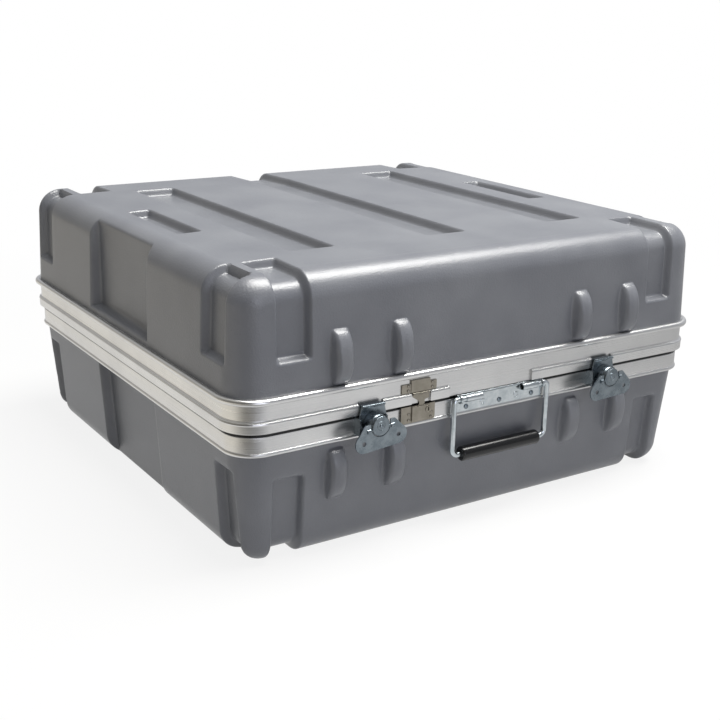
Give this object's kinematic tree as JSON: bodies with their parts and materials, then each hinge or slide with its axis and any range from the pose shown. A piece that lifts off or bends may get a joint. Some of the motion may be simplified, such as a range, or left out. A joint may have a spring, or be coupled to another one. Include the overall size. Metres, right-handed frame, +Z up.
{
  "type": "microphone case",
  "caption": "Moulded plastic carrying case for microphones, with an aluminium tongue-and-groove rim, hinged lid, turn latches, key lock, bail handle and foam wells.",
  "frame": {"origin": "centre of the case's underside, on the face it rests on", "axes": "+X along the width, to the right as seen from the latches; -Y towards the front wall with the latches; +Z up through the lid"},
  "size_m": [0.623, 0.6149, 0.299],
  "materials": {
    "shell_plastic": "grained vacuum-formed ABS, slate grey",
    "valance_aluminium": "satin anodised extrusion",
    "gasket_rubber": "black cellular rubber",
    "foam": "charcoal open-cell polyurethane foam",
    "zinc_hardware": "zinc plate over pressed steel, slightly blue",
    "nickel_lock": "satin nickel plate",
    "grip_rubber": "smooth glossy black rubber"
  },
  "bodies": {
    "base": {"base_shell": "shell_plastic", "base_valance": "valance_aluminium", "base_foam_floor": "foam", "base_foam_front": "foam", "base_foam_back": "foam", "base_foam_left": "foam", "base_foam_right": "foam", "mic_strip_1": "foam", "mic_strip_2": "foam", "mic_strip_3": "foam", "mic_cells_1": "foam", "mic_cells_2": "foam", "mic_cells_3": "foam", "bay_divider": "foam", "latch_body_left": "zinc_hardware", "latch_body_right": "zinc_hardware", "latch_rivets": "zinc_hardware", "lock_body": "nickel_lock", "lock_rivets": "nickel_lock", "handle_plate": "zinc_hardware", "handle_rivets": "zinc_hardware", "hinge_base_left": "zinc_hardware", "hinge_base_right": "zinc_hardware", "hinge_pins": "zinc_hardware", "hinge_base_rivets": "zinc_hardware"},
    "lid": {"lid_shell": "shell_plastic", "lid_valance": "valance_aluminium", "lid_gasket": "gasket_rubber", "lid_foam": "foam", "keeper_left": "zinc_hardware", "keeper_right": "zinc_hardware", "keeper_rivets": "zinc_hardware", "lock_strike": "nickel_lock", "strike_rivets": "nickel_lock", "hinge_lid_left": "zinc_hardware", "hinge_lid_right": "zinc_hardware", "hinge_lid_rivets": "zinc_hardware"},
    "handle": {"bail": "zinc_hardware", "grip": "grip_rubber"},
    "hook_left": {"hook_left": "zinc_hardware"},
    "hook_right": {"hook_right": "zinc_hardware"},
    "drum_left": {"drum_left": "zinc_hardware", "wing_pin_left": "zinc_hardware"},
    "drum_right": {"drum_right": "zinc_hardware", "wing_pin_right": "zinc_hardware"},
    "wing_left": {"wing_left": "zinc_hardware"},
    "wing_right": {"wing_right": "zinc_hardware"},
    "lock_cylinder": {"lock_cylinder": "nickel_lock"}
  },
  "joints": [
    {"name": "lid_hinge", "type": "hinge", "parent": "base", "child": "lid", "pos_m": [0, 0.2955, 0.148], "axis": [-1, 0, 0], "range_deg": [0, 105]},
    {"name": "handle_swing", "type": "hinge", "parent": "base", "child": "handle", "pos_m": [0.012, -0.2924, 0.143], "axis": [-1, 0, 0], "range_deg": [0, 95]},
    {"name": "latch_turn_left", "type": "hinge", "parent": "base", "child": "drum_left", "pos_m": [-0.156, -0.2973, 0.1405], "axis": [0, -1, 0], "range_deg": [0, 180]},
    {"name": "hook_slide_left", "type": "slide", "parent": "base", "child": "hook_left", "axis": [0, 0, 1], "range_m": [0, 0.005]},
    {"name": "wing_fold_left", "type": "hinge", "parent": "drum_left", "child": "wing_left", "pos_m": [-0.15579, -0.3096, 0.13801], "axis": [-0.9965, 0, -0.0837], "range_deg": [0, 90]},
    {"name": "latch_turn_right", "type": "hinge", "parent": "base", "child": "drum_right", "pos_m": [0.156, -0.2973, 0.1405], "axis": [0, -1, 0], "range_deg": [0, 180]},
    {"name": "hook_slide_right", "type": "slide", "parent": "base", "child": "hook_right", "axis": [0, 0, 1], "range_m": [0, 0.005]},
    {"name": "wing_fold_right", "type": "hinge", "parent": "drum_right", "child": "wing_right", "pos_m": [0.1561, -0.3096, 0.138], "axis": [-0.9993, 0, -0.0384], "range_deg": [0, 90]},
    {"name": "key_turn", "type": "hinge", "parent": "base", "child": "lock_cylinder", "pos_m": [-0.0844, -0.2903, 0.1396], "axis": [0, -1, 0], "range_deg": [0, 90]}
  ],
  "couplings": [
    {"joint": "latch_turn_left", "follows": "hook_slide_left", "rad_per_m": 628.3},
    {"joint": "latch_turn_right", "follows": "hook_slide_right", "rad_per_m": 628.3}
  ]
}
